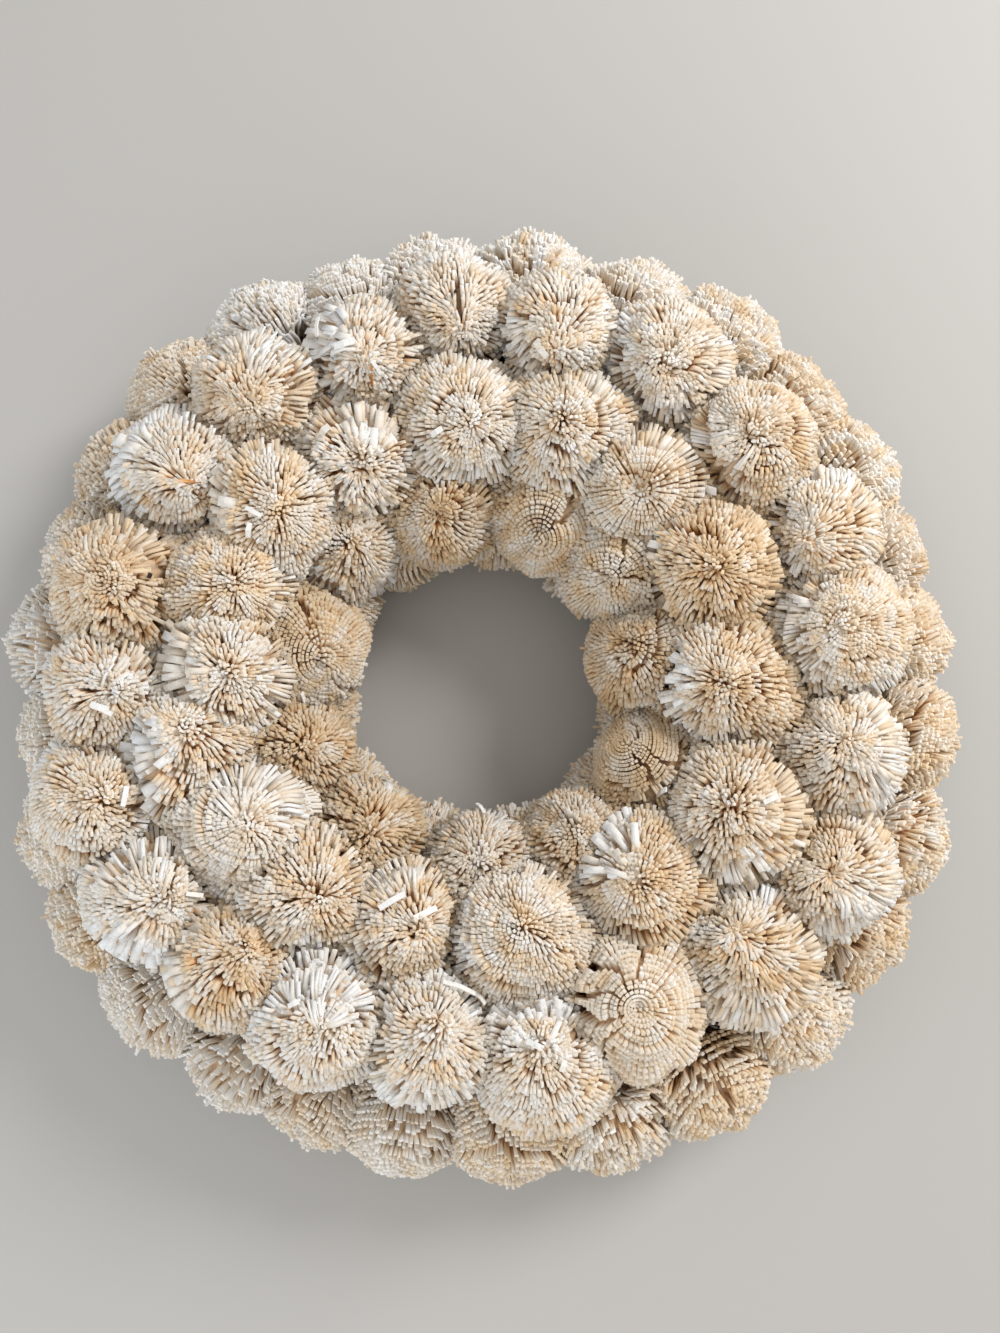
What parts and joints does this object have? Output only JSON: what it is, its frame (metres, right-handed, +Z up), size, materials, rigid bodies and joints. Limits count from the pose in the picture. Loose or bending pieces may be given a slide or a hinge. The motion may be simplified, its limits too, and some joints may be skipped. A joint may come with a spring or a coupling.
{
  "type": "pom pom wreath",
  "caption": "Flat-backed ring wreath covered all over with domed, fringed pith pom poms glued to a natural fibre ring base.",
  "frame": {"origin": "on the surface the wreath lies on, under the middle of its outline", "axes": "+Z up through the hole, out of the pom face; +X to the right and +Y to the top of the wreath as seen from above"},
  "size_m": [0.3418, 0.3434, 0.0774],
  "materials": {
    "pith": "matte peeled pith fringe, ivory to warm cream, paler on the cut tips and tan in the gaps",
    "pith_inner": "matte peeled pith fringe, a slightly deeper tan round the hole",
    "base_fibre": "matte dark brown natural fibre, wound in fine turns"
  },
  "bodies": {
    "root": {"base_ring": "base_fibre", "outer_poms_01": "pith", "outer_poms_02": "pith", "outer_poms_03": "pith", "outer_poms_04": "pith", "outer_poms_05": "pith", "outer_poms_06": "pith", "outer_poms_07": "pith", "outer_poms_08": "pith", "outer_poms_09": "pith", "outer_poms_10": "pith", "outer_poms_11": "pith", "shoulder_pom_01": "pith", "shoulder_pom_02": "pith", "shoulder_pom_03": "pith", "shoulder_pom_04": "pith", "shoulder_pom_05": "pith", "shoulder_pom_06": "pith", "shoulder_pom_07": "pith", "shoulder_pom_08": "pith", "shoulder_pom_09": "pith", "shoulder_pom_10": "pith", "shoulder_pom_11": "pith", "shoulder_pom_12": "pith", "shoulder_pom_13": "pith", "shoulder_pom_14": "pith", "shoulder_pom_15": "pith", "shoulder_pom_16": "pith", "shoulder_pom_17": "pith", "shoulder_pom_18": "pith", "shoulder_pom_19": "pith", "shoulder_pom_20": "pith", "shoulder_pom_21": "pith", "crown_pom_01": "pith", "crown_pom_02": "pith", "crown_pom_03": "pith", "crown_pom_04": "pith", "crown_pom_05": "pith", "crown_pom_06": "pith", "crown_pom_07": "pith", "crown_pom_08": "pith", "crown_pom_09": "pith", "crown_pom_10": "pith", "crown_pom_11": "pith", "crown_pom_12": "pith", "crown_pom_13": "pith", "crown_pom_14": "pith", "crown_pom_15": "pith", "crown_pom_16": "pith", "inner_poms_01": "pith_inner", "inner_poms_02": "pith_inner", "inner_poms_03": "pith_inner", "inner_poms_04": "pith_inner", "inner_poms_05": "pith_inner", "inner_poms_06": "pith_inner", "hole_poms_01": "pith_inner", "hole_poms_02": "pith_inner", "hole_poms_03": "pith_inner", "hole_poms_04": "pith_inner", "hole_poms_05": "pith_inner"}
  },
  "joints": []
}
